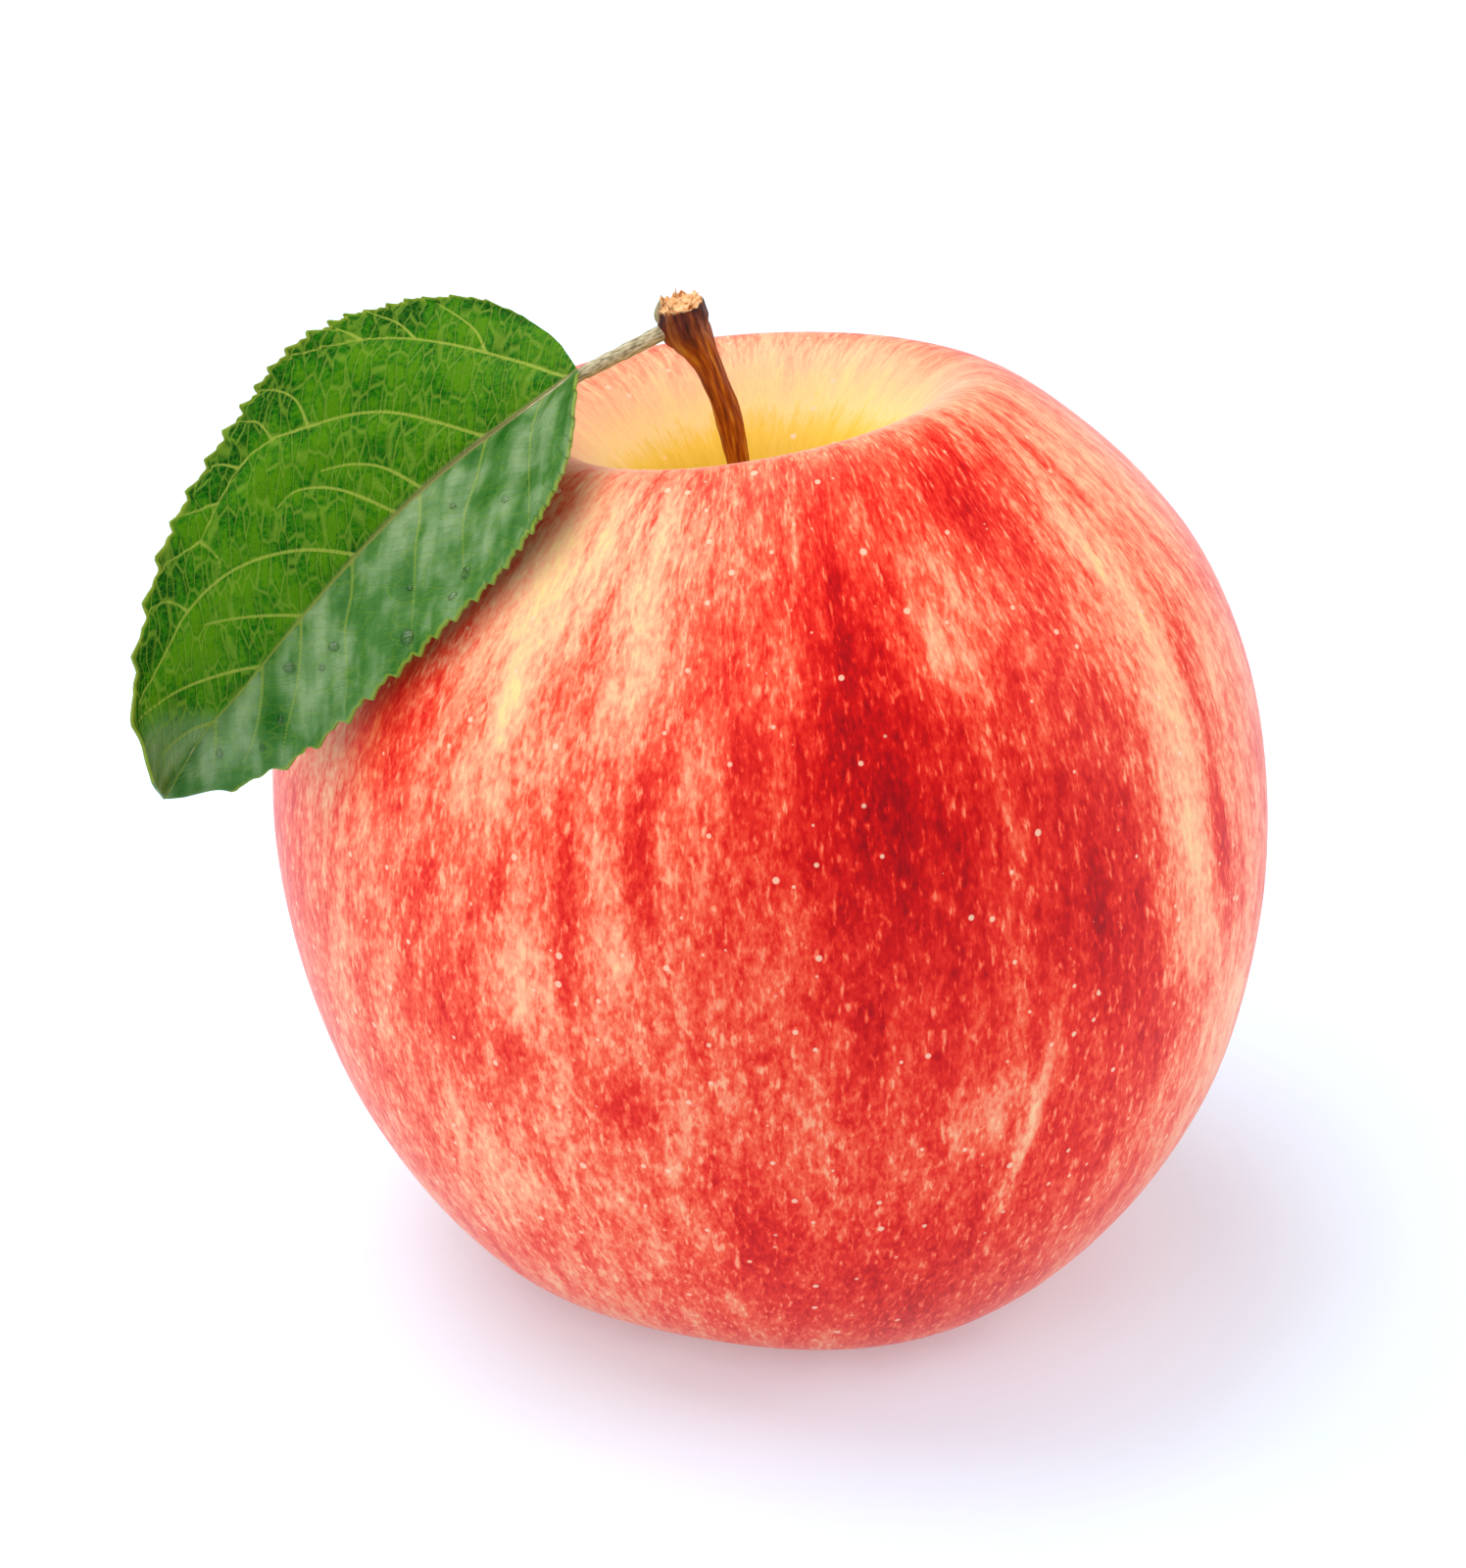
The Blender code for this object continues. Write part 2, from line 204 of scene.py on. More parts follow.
BLUSH_PATCHES = (  # how much redder; its middle and its spread, in degrees and mm; its lean
    (0.22, (-78, 44), (6, 13), 0.0),
    (0.20, (-74, 54), (11, 14), 0.0),
    (0.10, (-74, 56), (22, 24), 0.0),
    (0.24, (-52, 59), (9, 16), 0.0),
    (0.24, (-51, 30), (11, 5), 0.0),
    (0.08, (-92, 48), (7, 12), 0.0),
    (0.18, (-70, 92), (27, 15), 0.0),
    (-0.22, (-126, 34), (9, 9), 0.0),
    (-0.20, (-124, 46), (3, 8), 0.0),
    (-0.22, (-107, 40), (4, 8), 0.0),
    (-0.14, (-112, 30), (15, 5), 0.0),
    (-0.22, (-65, 41), (4, 3), 0.4),
    (-0.08, (-62, 36), (5, 4), 0.0),
    (-0.20, (-33, 44), (5, 11), 0.0),
    (-0.24, (-37, 60), (4, 9), 0.0),
    (-0.08, (-18, 46), (10, 20), 0.0),
    (0.28, (-28, 49), (1.2, 3.5), 0.0),
    (0.34, (-29.5, 61), (1.5, 5), 0.0),
    (0.18, (-44, 75), (6, 5), 0.0),
    (-0.16, (-27, 80), (9, 8), 0.0),
    # Painted reflection: paler at the left rim, for the white haze that the surroundings give at a
    # grazing angle.
    (-0.10, (-152, 62), (12, 26), 0.0),
    (-0.10, (-12, 34), (16, 9), 0.0),
    (0.10, (-98, 22), (26, 4.5), 0.0),
    (0.20, (-112, 60), (1.8, 6), 0.0),
    (0.22, (-104, 53), (2.5, 8), 0.0),
    (-0.15, (-107, 60), (2.3, 4), 0.0),
    (-0.11, (-118, 65), (4, 3), 0.0),
    (0.05, (-132, 63), (4, 7), 0.0),
    # Painted light: paler in a strip beside the leaf's near margin, for light coming through the
    # leaf.
    (-0.24, (-143.5, 34), (3.5, 11), 0.0),
    (0.18, (-108, 73), (4, 3), 0.0),
    (-0.12, (-126, 82), (7, 7), 0.0),
    (0.08, (-121, 71), (6, 4), 0.0),
    (0.12, (-91, 88), (6, 8), 0.0),
    (0.10, (-80, 70), (2, 7), 0.0),
    (-0.44, (-61, 76), (1.0, 6.5), -0.33),
    (-0.24, (-68, 75), (4, 3), 0.0),
    # Painted shade: redder under the leaf's near margin, where the leaf shades the skin.
    (0.22, (-142, 47), (4, 6), 0.0),
    (0.26, (28, 58), (17, 28), 0.0),
    (0.12, (60, 80), (25, 20), 0.0),
    (-0.20, (88, 50), (18, 26), 0.0),
    (0.24, (122, 60), (20, 24), 0.0),
    (-0.16, (158, 56), (16, 30), 0.0),
    (0.10, (-165, 70), (20, 30), 0.0),
)
COMMON_BLUSH = 0.49
CALYX_BLUSH = 0.35
blush = np.full(len(turned), COMMON_BLUSH)
for strength, place, spread, lean in BLUSH_PATCHES:
    blush += strength * patch(azimuth, along, place, spread, lean)
blush += 0.30 * ease(along, 108, 122) * (CALYX_BLUSH - blush)
write_field(fruit.data, "blush", blush)
CAVITY_SPAN = (12, 28)  # mm from the stem: none of the sun reaches the first, all the second
write_field(fruit.data, "sunned", ease(along, *CAVITY_SPAN))
# Painted light and shade: the skin under and beside the leaf's near margin is tinted orange, for
# the light that comes through the leaf and for the leaf's shade.
painted_leaf_light_mask = 1.1 * patch(azimuth, along, (-143.5, 34), (3.0, 12))
painted_leaf_light_mask += 0.6 * patch(azimuth, along, (-147, 48), (5, 6))
write_field(fruit.data, "painted_leaf_light_and_shade", np.clip(painted_leaf_light_mask, 0, 1))
write_field(fruit.data, "along", along)
write_field(fruit.data, "round", np.stack((np.cos(azimuth), np.sin(azimuth), along), axis=1))


def hex_colour(text):
    """Linear red, green, blue and alpha from an sRGB hex colour."""
    parts = [int(text[i : i + 2], 16) / 255 for i in (1, 3, 5)]
    return (*[c / 12.92 if c <= 0.04045 else ((c + 0.055) / 1.055) ** 2.4 for c in parts], 1.0)


def add(tree, kind, inputs=None, out=None, stops=None, **settings):
    """Adds a node, and gives the output that is asked for, or its first one in use."""
    made = tree.nodes.new(f"ShaderNode{kind}")
    for name, value in settings.items():
        setattr(made, name, value)
    for key, value in (inputs or {}).items():
        if isinstance(value, bpy.types.NodeSocket):
            tree.links.new(value, made.inputs[key])
        else:
            made.inputs[key].default_value = value
    if stops:
        ramp = made.color_ramp
        while len(ramp.elements) < len(stops):
            ramp.elements.new(0.5)
        for element, (place, colour) in zip(ramp.elements, stops):
            element.position = place
            element.color = colour
    return made.outputs[out] if out else next(o for o in made.outputs if o.enabled)


def new_material(name):
    """An empty material, its node tree and the socket that its surface goes to."""
    material = bpy.data.materials.new(name)
    material.use_nodes = True
    material.node_tree.nodes.clear()
    output = material.node_tree.nodes.new("ShaderNodeOutputMaterial")
    return material, material.node_tree, output.inputs["Surface"]


def dress(piece, material, slot, *nodes):
    """Gives a finished piece its material, rides it on the apple, and hides the model's parts that
    it stands for.
    """
    piece.data.materials.clear()
    piece.data.materials.append(material)
    make_active(piece)
    bpy.ops.object.shade_smooth()
    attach(piece, "root")
    if nodes:
        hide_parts(*nodes)


# Waxed apple skin: a clear wax over red pigment that lies in streaks and flecks on a yellow
# ground. The flesh under it scatters light, so edges and shadows look soft and warm.
skin, tree, surface = new_material("waxed_apple_skin")
place = add(tree, "Attribute", out="Vector", attribute_name="round")
blush_field = add(tree, "Attribute", out="Fac", attribute_name="blush")
object_place = add(tree, "TexCoord", out="Object")

# Each layer is a noise, stretched along the skin: its width across and its length, both in mm,
# its detail and its strength.
GIRTH_RADIUS = 40.0  # mm, which turns a direction round the core into a distance
PIGMENT_LAYERS = (
    (5.0, 14.0, 2.0, 0.36),
    (1.9, 5.5, 4.0, 0.50),
    (0.85, 1.4, 3.0, 0.42),
    (0.36, 0.7, 2.0, 0.37),
)
red = blush_field
for width, length, detail, strength in PIGMENT_LAYERS:
    across = GIRTH_RADIUS / width
    stretched = add(
        tree, "VectorMath", {0: place, 1: (across, across, 1.0 / length)}, operation="MULTIPLY"
    )
    streak = add(
        tree,
        "TexNoise",
        {"Vector": stretched, "Scale": 1.0, "Detail": detail, "Roughness": 0.6},
        out="Fac",
    )
    centred = add(tree, "Math", {0: streak, 1: 0.5}, operation="SUBTRACT")
    red = add(tree, "Math", {0: centred, 1: strength, 2: red}, operation="MULTIPLY_ADD")
# Small flecks where the pigment is thin, which show most on the darkest red.
fleck_across, fleck_along = GIRTH_RADIUS / 0.47, 1 / 1.2
fleck_place = add(
    tree,
    "VectorMath",
    {0: place, 1: (fleck_across, fleck_across, fleck_along)},
    operation="MULTIPLY",
)
flecks = add(tree, "TexNoise", {"Vector": fleck_place, "Scale": 1.0, "Detail": 4.0}, out="Fac")
flecks = add(
    tree,
    "MapRange",
    {"Value": flecks, "From Min": 0.55, "From Max": 0.72, "To Min": 1.0, "To Max": 0.62},
)
red = add(tree, "Math", {0: red, 1: flecks}, operation="MULTIPLY")
# Deep in the stem's cavity, where the sun never reached, only the yellow ground shows.
sunned = add(tree, "Attribute", out="Fac", attribute_name="sunned")
sun_share = add(tree, "MapRange", {"Value": sunned, "To Min": 0.06, "To Max": 1.0})
red = add(tree, "Math", {0: red, 1: sun_share}, operation="MULTIPLY")
palest = add(tree, "Math", {0: sunned, 1: 0.11}, operation="MULTIPLY")
red = add(tree, "Math", {0: red, 1: palest}, operation="MAXIMUM")
pigment = add(
    tree,
    "ValToRGB",
    {"Fac": red},
    out="Color",
    stops=(
        (0.00, hex_colour("#d2a720")),
        (0.05, hex_colour("#ebbd48")),
        (0.11, hex_colour("#f6d08e")),
        (0.26, hex_colour("#f9b68c")),
        (0.40, hex_colour("#f88f6c")),
        (0.52, hex_colour("#f4593c")),
        (0.64, hex_colour("#e62b1e")),
        (0.77, hex_colour("#cc0a0c")),
        (0.96, hex_colour("#9a020e")),
    ),
)

# Lenticels: the corky breathing pores, pale dots 0.3 to 0.6 mm across and a few millimetres apart.
PORE_SPACING = 1.6 * MM
pores = add(
    tree,
    "TexVoronoi",
    {"Vector": object_place, "Scale": 1 / PORE_SPACING, "Randomness": 1.0},
    out="Distance",
)
pore_kind = add(
    tree,
    "TexVoronoi",
    {"Vector": object_place, "Scale": 1 / PORE_SPACING, "Randomness": 1.0},
    out="Color",
)
pore_size = add(tree, "SeparateColor", {0: pore_kind}, out="Red")
pore_edge = add(
    tree, "MapRange", {"Value": pore_size, "From Min": 0.34, "To Min": 0.0, "To Max": 0.20}
)
pore = add(tree, "Math", {0: pore_edge, 1: pores}, operation="SUBTRACT")
pore = add(tree, "MapRange", {"Value": pore, "From Min": 0.0, "From Max": 0.05})
pore = add(tree, "Math", {0: pore, 1: 0.8}, operation="MULTIPLY")
dotted = add(
    tree,
    "Mix",
    {0: pore, 6: pigment, 7: hex_colour("#fac8a8")},
    out=2,
    data_type="RGBA",
)
# Painted light and shade: the skin's colour is multiplied by orange where light through the leaf
# and the leaf's shade fall.
painted_leaf_light_and_shade = add(tree, "Attribute", out="Fac", attribute_name="painted_leaf_light_and_shade")
dotted = add(
    tree,
    "Mix",
    {0: painted_leaf_light_and_shade, 6: dotted, 7: hex_colour("#ffb010")},
    out=2,
    data_type="RGBA",
    blend_type="MULTIPLY",
)
relief = add(
    tree,
    "TexNoise",
    {"Vector": object_place, "Scale": 1 / (1.6 * MM), "Detail": 3.0},
    out="Fac",
)
relief = add(tree, "Math", {0: pore, 1: 0.6, 2: relief}, operation="MULTIPLY_ADD")
bump = add(tree, "Bump", {"Height": relief, "Strength": 0.25, "Distance": 0.05 * MM})
shine = add(tree, "MapRange", {"Value": relief, "To Min": 0.36, "To Max": 0.50})
wax = add(
    tree,
    "BsdfPrincipled",
    {
        "Base Color": dotted,
        "Roughness": shine,
        "IOR": 1.45,
        "Specular IOR Level": 0.14,
        "Sheen Weight": 0.24,
        "Sheen Roughness": 0.28,
        "Subsurface Weight": 0.12,
        "Subsurface Radius": (1.0, 0.45, 0.2),
        "Subsurface Scale": 2.5 * MM,
        "Normal": bump,
    },
)
tree.links.new(wax, surface)
dress(fruit, skin, "apple_skin", "fruit")

# ---------------------------------------------------------------------------------------------
# Calyx. Five dried sepals, the remains of the flower, hang from the rim of the basin underneath
# and bend in under a tuft of dried stamens. All of it is brown, thin and papery.

SEPAL_CURLS = (0.9, 1.25, 0.7, 1.1, 0.8)  # how far each one bends inwards, in radians
SEPAL_LENGTH = 5.2 * MM
SEPAL_HALF_WIDTH = 1.35 * MM
SEPAL_RING_RADIUS = 3.3 * MM
SEPAL_ROOT_HEIGHT = 5.9 * MM
SEPAL_THICKNESS = 0.22 * MM
FIRST_SEPAL_TURN = math.radians(18)
STAMENS = 16
STAMEN_RADIUS = 0.10 * MM
ANTHER_RADIUS = 0.20 * MM

# Dried calyx: dead leaf tissue and threads. Matt brown, darker in its folds, with pale fibres.
husk, tree, surface = new_material("dried_calyx")
lie = add(tree, "Attribute", out="Vector", attribute_name="lie")
fibre_place = add(tree, "VectorMath", {0: lie, 1: (6.0, 0.6, 1.0)}, operation="MULTIPLY")
fibre = add(tree, "TexNoise", {"Vector": fibre_place, "Scale": 1.0, "Detail": 3.0}, out="Fac")
blotch = add(
    tree,
    "TexNoise",
    {"Vector": add(tree, "TexCoord", out="Object"), "Scale": 1 / (0.9 * MM), "Detail": 3.0},
    out="Fac",
)
dry_tone = add(tree, "Math", {0: fibre, 1: blotch}, operation="MULTIPLY")
brown = add(
    tree,
    "ValToRGB",
    {"Fac": dry_tone},
    out="Color",
    stops=(
        (0.08, hex_colour("#2c1c12")),
        (0.22, hex_colour("#5c4128")),
        (0.36, hex_colour("#8f7048")),
        (0.52, hex_colour("#c2a878")),
    ),
)
dry_bump = add(tree, "Bump", {"Height": fibre, "Strength": 0.6, "Distance": 0.08 * MM})
tree.links.new(
    add(tree, "BsdfPrincipled", {"Base Color": brown, "Roughness": 0.85, "Normal": dry_bump}),
    surface,
)

for number, curl in enumerate(SEPAL_CURLS):
    deselect_all()
    bpy.ops.mesh.primitive_grid_add(x_subdivisions=34, y_subdivisions=16, size=2)
    sepal = bpy.context.object
    sepal.name = sepal.data.name = f"dried_sepal_{number + 1}"
    flat = read_points(sepal.data)
    share, side = (flat[:, 0] + 1) / 2, flat[:, 1]
    crumple = rough(np.stack((share * 5 + number * 7, side * 1.3, side * 0), axis=1), 1.0)
    bend = curl * share + 0.12 * crumple
    reach = SEPAL_LENGTH * share
    half = SEPAL_HALF_WIDTH * (1 - 0.93 * share**1.6)
    cup = (0.35 * side**2 * (1 - share) + 0.22 * crumple * share) * MM
    out = SEPAL_RING_RADIUS - reach * np.sin(0.55 * bend) - cup
    down = SEPAL_ROOT_HEIGHT - reach * np.cos(0.55 * bend)
    turn = math.tau * number / LOBES + FIRST_SEPAL_TURN
    sway = half * side + 0.25 * MM * np.sin(3 * share + number) * share
    x = out * math.cos(turn) - sway * math.sin(turn)
    y = out * math.sin(turn) + sway * math.cos(turn)
    write_points(sepal.data, np.stack((x, y, down), axis=1) + np.array(CORE_PLACE))
    write_field(sepal.data, "lie", np.stack((side, share * 5, side * 0 + number), axis=1))
    wall = sepal.modifiers.new("wall", "SOLIDIFY")
    wall.thickness = SEPAL_THICKNESS
    wall.offset = 0.0
    make_active(sepal)
    bpy.ops.object.modifier_apply(modifier="wall")
    dress(sepal, husk, "dried_calyx", f"sepal_{number + 1}")


def rolled_tube(name, line, radii, sides, upright=(0, 0, 1)):
    """A grid rolled round a line into a tube. Gives the tube, and each point's turn and ring."""
    deselect_all()
    rings = len(line) - 1
    bpy.ops.mesh.primitive_grid_add(x_subdivisions=sides, y_subdivisions=rings, size=2)
    tube = bpy.context.object
    tube.name = tube.data.name = name
    flat = read_points(tube.data)
    turn = (flat[:, 0] + 1) * math.pi
    ring = np.rint((flat[:, 1] + 1) / 2 * rings).astype(int)
    line, radii = np.array(line), np.array(radii)
    ahead = np.gradient(line, axis=0)
    side = np.cross(ahead, np.array(upright))
    side /= np.linalg.norm(side, axis=1, keepdims=True)
    top = np.cross(side, ahead)
    top /= np.linalg.norm(top, axis=1, keepdims=True)
    outward = np.cos(turn)[:, None] * side[ring] + np.sin(turn)[:, None] * top[ring]
    write_points(tube.data, line[ring] + radii[ring, None] * outward)
    return tube, turn, ring, outward


def close_tube(tube):
    """Sews the tube's seam and its ends, and turns its faces outwards."""
    make_active(tube)
    bpy.ops.object.mode_set(mode="EDIT")
    bpy.ops.mesh.select_all(action="SELECT")
    bpy.ops.mesh.remove_doubles(threshold=0.000002)
    bpy.ops.mesh.normals_make_consistent(inside=False)
    bpy.ops.object.mode_set(mode="OBJECT")


def join_pieces(name, pieces):
    make_active(pieces[0])
    for piece in pieces:
        piece.select_set(True)
    bpy.ops.object.join()
    pieces[0].name = pieces[0].data.name = name
    return pieces[0]


threads = []
for number in range(STAMENS):
    turn = math.tau * number / STAMENS + 0.5 * math.sin(number * 2.3)
    spread = (0.35 + 0.55 * (number % 3) / 2) * MM
    droop = 0.5 * MM * math.sin(number * 1.7)
    heading = Vector((math.cos(turn), math.sin(turn), 0))
    points = [
        CORE_PLACE + heading * spread * 0.6 + Vector((0, 0, 6.7 * MM)),
        CORE_PLACE + heading * spread + Vector((0, 0, 5.6 * MM)),
        CORE_PLACE + heading * (spread + 0.25 * MM) + Vector((0, 0, 4.7 * MM + droop / 2)),
        CORE_PLACE + heading * (spread + 0.1 * MM) + Vector((0, 0, 3.9 * MM + droop)),
    ]
    line = smooth_through(points, 5)
    radii = [STAMEN_RADIUS] * (len(line) - 3) + [ANTHER_RADIUS, ANTHER_RADIUS, 0.0]
    radii[0] = 0.0
    thread, turns, ring, _ = rolled_tube(f"stamen_{number}", line, radii, 7, (0.3, 1, 0.1))
    write_field(thread.data, "lie", np.stack((np.cos(turns), ring * 0.2, turns * 0), axis=1))
    close_tube(thread)
    threads.append(thread)
dress(join_pieces("dried_stamens", threads), husk, "dried_calyx", "stamen_tuft")

# ---------------------------------------------------------------------------------------------
# Stem. A woody stalk, grown out of the core through the bottom of the cavity. It swells to a knob
# where it broke away from the twig, with torn pale fibres on its end.

STEM_LINE = (  # points of its centre line and radii, in mm, from its root to its broken end
    ((-2.4, 0.0, 54.8), 0.95),
    ((-2.7, 0.0, 58.9), 0.88),
    ((-3.65, 0.0, 65.6), 0.88),
    ((-4.55, 0.0, 69.9), 1.00),
    ((-5.8, 0.0, 73.4), 1.03),
    ((-6.6, 0.0, 75.2), 1.30),
    ((-7.5, 0.0, 76.8), 1.75),
    ((-7.9, 0.0, 78.2), 1.80),
    ((-8.15, 0.0, 79.0), 1.70),
)
STEM_STEPS = 18  # divisions between two points of the line
END_RINGS = 12  # rings across its broken end
HEAD_HEIGHT = 77.2  # the middle of the knob
SPLINTERS = 11
SPLINTER_RADIUS = 0.17 * MM

line = smooth_through([Vector(p) * MM + CORE_PLACE for p, _ in STEM_LINE], STEM_STEPS)
radii = [p.x for p in smooth_through([(r * MM, 0, 0) for _, r in STEM_LINE], STEM_STEPS)]
shaft_rings = len(line) - 1
tip_way = (line[-1] - line[-2]).normalized()
for step in range(1, END_RINGS + 1):
    line.append(line[shaft_rings] + tip_way * step * 0.004 * MM)
    radii.append(radii[shaft_rings] * (1 - step / END_RINGS) ** 0.9)
radii[0] = 0.0
stem, turns, ring, outward = rolled_tube("apple_stem", line, radii, 84, (0, 1, 0))
places = read_points(stem.data)
height = (np.array(line)[ring, 2] - CORE_PLACE.z) / MM
girth = np.array(radii)[ring]
lay = np.stack((np.cos(turns), np.sin(turns), height / 4.5), axis=1)
fine_lay = np.stack((np.cos(turns) * 2.6, np.sin(turns) * 2.6, height / 2.4), axis=1)
ribs = 0.13 * rough(lay, 0.42) + 0.06 * rough(fine_lay, 0.5)
left = np.clip(-outward[:, 0], 0, 1) ** 2
knob = np.exp(-(((height - HEAD_HEIGHT) / 1.5) ** 2))
lumps = 0.16 * rough(places, 0.9 * MM) * ease(height, 74.0, 76.5)
in_shaft = ring <= shaft_rings
grow = np.where(in_shaft, ribs + 0.30 * left * knob + lumps, 0) * MM
places += outward * (grow * np.clip(girth / (0.9 * MM), 0, 1))[:, None]

# The broken end: a ragged rim round a torn face, with splinters that stand up from it.
end_lay = np.stack((places[:, 0], places[:, 1], places[:, 0] * 0), axis=1)
ragged = 0.42 * rough(end_lay, 0.75 * MM) + 0.22 * rough(end_lay, 0.3 * MM)
near_end = ease(ring, shaft_rings - 9, shaft_rings)
tilt = 0.10 * (places[:, 0] - line[-1].x) / MM
places += np.array(tip_way) * ((ragged - tilt) * near_end * MM)[:, None]
write_points(stem.data, places)
write_field(stem.data, "torn", ease(ring + 4 * rough(fine_lay, 0.35), shaft_rings - 5, shaft_rings))
write_field(stem.data, "high", height)
write_field(stem.data, "lie", np.stack((np.cos(turns), np.sin(turns), height), axis=1))
close_tube(stem)

splinters = [stem]
for number in range(SPLINTERS):
    turn = math.tau * number / SPLINTERS + 0.7 * math.sin(number * 3.1)
    out = (1.25 + 0.3 * math.sin(number * 1.9)) * MM
    root = line[-1] + Vector((math.cos(turn) * out, math.sin(turn) * out, -0.25 * MM))
    rise = (0.45 + 0.3 * math.sin(number * 2.7)) * MM
    lean = Vector((math.cos(turn), math.sin(turn), 0)) * 0.25 * MM
    points = [root, root + Vector((0, 0, rise * 0.6)), root + lean + Vector((0, 0, rise * 1.3))]
    path = smooth_through(points, 4)
    thin = [SPLINTER_RADIUS * (1 - k / (len(path) - 1)) ** 0.7 for k in range(len(path))]
    splinter, turns, ring, _ = rolled_tube(f"splinter_{number}", path, thin, 7, (0, 1, 0))
    write_field(splinter.data, "torn", np.ones(len(ring)))
    write_field(splinter.data, "high", np.full(len(ring), 79.0))
    write_field(splinter.data, "lie", np.stack((np.cos(turns), np.sin(turns), ring), axis=1))
    close_tube(splinter)
    splinters.append(splinter)
stem = join_pieces("apple_stem", splinters)

# Stem bark: thin, ribbed, orange-brown bark, dark red-brown round the knob. Torn wood is pale.
bark, tree, surface = new_material("stem_bark")
lie = add(tree, "Attribute", out="Vector", attribute_name="lie")
high = add(tree, "Attribute", out="Fac", attribute_name="high")
torn = add(tree, "Attribute", out="Fac", attribute_name="torn")
grain_place = add(tree, "VectorMath", {0: lie, 1: (3.2, 3.2, 0.35)}, operation="MULTIPLY")
grain = add(tree, "TexNoise", {"Vector": grain_place, "Scale": 1.0, "Detail": 4.0}, out="Fac")
bark_colour = add(
    tree,
    "ValToRGB",
    {"Fac": grain},
    out="Color",
    stops=(
        (0.28, hex_colour("#4a1b04")),
        (0.44, hex_colour("#8a3803")),
        (0.56, hex_colour("#a65205")),
        (0.70, hex_colour("#c4801c")),
    ),
)
knob_colour = add(
    tree,
    "ValToRGB",
    {"Fac": grain},
    out="Color",
    stops=(
        (0.30, hex_colour("#2c0c08")),
        (0.46, hex_colour("#5c1f10")),
        (0.62, hex_colour("#8c4a1c")),
        (0.76, hex_colour("#b8823c")),
    ),
)
at_knob = add(tree, "MapRange", {"Value": high, "From Min": 74.8, "From Max": 77.6})
coat = add(tree, "Mix", {0: at_knob, 6: bark_colour, 7: knob_colour}, out=2, data_type="RGBA")
fibre_place = add(tree, "VectorMath", {0: lie, 1: (5.0, 5.0, 1.4)}, operation="MULTIPLY")
fibres = add(tree, "TexNoise", {"Vector": fibre_place, "Scale": 1.0, "Detail": 4.0}, out="Fac")
wood_spots = add(
    tree,
    "TexNoise",
    {"Vector": add(tree, "TexCoord", out="Object"), "Scale": 1 / (0.45 * MM), "Detail": 3.0},
    out="Fac",
)
torn_colour = add(
    tree,
    "ValToRGB",
    {"Fac": wood_spots},
    out="Color",
    stops=(
        (0.32, hex_colour("#a85a24")),
        (0.46, hex_colour("#e0a468")),
        (0.62, hex_colour("#f6c794")),
    ),
)
bark_mix = add(tree, "Mix", {0: torn, 6: coat, 7: torn_colour}, out=2, data_type="RGBA")
bark_bump = add(tree, "Bump", {"Height": fibres, "Strength": 0.8, "Distance": 0.12 * MM})
tree.links.new(
    add(
        tree,
        "BsdfPrincipled",
        {
            "Base Color": bark_mix,
            "Roughness": 0.55,
            "Normal": bark_bump,
            "Specular IOR Level": 0.25,
        },
    ),
    surface,
)
dress(stem, bark, "stem_wood", "stem")

# ---------------------------------------------------------------------------------------------
# Leaf. One apple leaf on its own stalk, folded along the midrib and hanging over the shoulder. The
# blade is a thin soft skin, puffed up between its sunk veins, with a saw-toothed margin.

MIDRIB = ((-15.6, -4.0, 75.2), (-25.9, -7.1, 68.3), (-28.8, -11.9, 70.0), (-47.4, -18.0, 46.3))
BLADE_LEAN = np.array((0.62, 0.195, 0.76))  # with the midrib, this sets the plane of the blade
# Each half: its greatest width in mm, its fold from that plane, and the powers that shape its
# outline at the stalk and at the tip. The near half is the one over the fruit.
NEAR_HALF = (14.1, math.radians(19.8), 0.30, 0.53)
FAR_HALF = (14.7, math.radians(26.4), 0.37, 0.43)
TEETH = 23
FAR_TOOTH_DEPTH, NEAR_TOOTH_DEPTH = 0.62, 0.80  # mm
BLADE_THICKNESS = 0.26 * MM
BLADE_ALONG, BLADE_ACROSS = 270, 124  # faces along and across the blade
BLADE_START, BLADE_LENGTH = 0.003, 0.970  # as shares of the midrib
# Lateral veins, as shares of the way along the midrib and out to the margin.
FAR_VEINS = (
    ((0.02, 0.0), (0.10, 0.38), (0.25, 0.72), (0.42, 0.90), (0.49, 0.98)),
    (
        *((0.26, 0.0), (0.40, 0.41), (0.54, 0.64), (0.60, 0.75)),
        *((0.66, 0.81), (0.72, 0.80), (0.77, 0.78)),
    ),
    ((0.77, 0.78), (0.81, 0.92), (0.83, 1.0)),
    ((0.46, 0.0), (0.49, 0.21), (0.53, 0.34), (0.58, 0.44)),
    ((0.535, 0.0), (0.58, 0.30), (0.63, 0.47), (0.67, 0.50)),
    ((0.64, 0.0), (0.695, 0.26), (0.77, 0.51), (0.84, 0.66), (0.90, 0.74), (0.93, 0.9)),
    ((0.76, 0.0), (0.81, 0.31), (0.84, 0.50)),
    ((0.84, 0.0), (0.885, 0.30), (0.92, 0.60), (0.94, 0.9)),
    ((0.915, 0.0), (0.94, 0.30), (0.96, 0.6)),
    ((0.54, 0.65), (0.525, 0.79), (0.54, 0.92), (0.57, 1.0)),
    ((0.60, 0.75), (0.595, 0.87), (0.62, 1.0)),
    ((0.665, 0.81), (0.68, 0.92), (0.71, 1.0)),
    ((0.72, 0.80), (0.745, 0.90), (0.765, 1.0)),
    ((0.84, 0.66), (0.845, 0.84), (0.87, 1.0)),
    ((0.77, 0.78), (0.772, 0.64), (0.79, 0.56)),
    ((0.25, 0.72), (0.26, 0.86), (0.30, 1.0)),
    ((0.35, 0.84), (0.365, 0.92), (0.40, 1.0)),
    ((0.14, 0.49), (0.13, 0.70), (0.16, 0.95)),
)
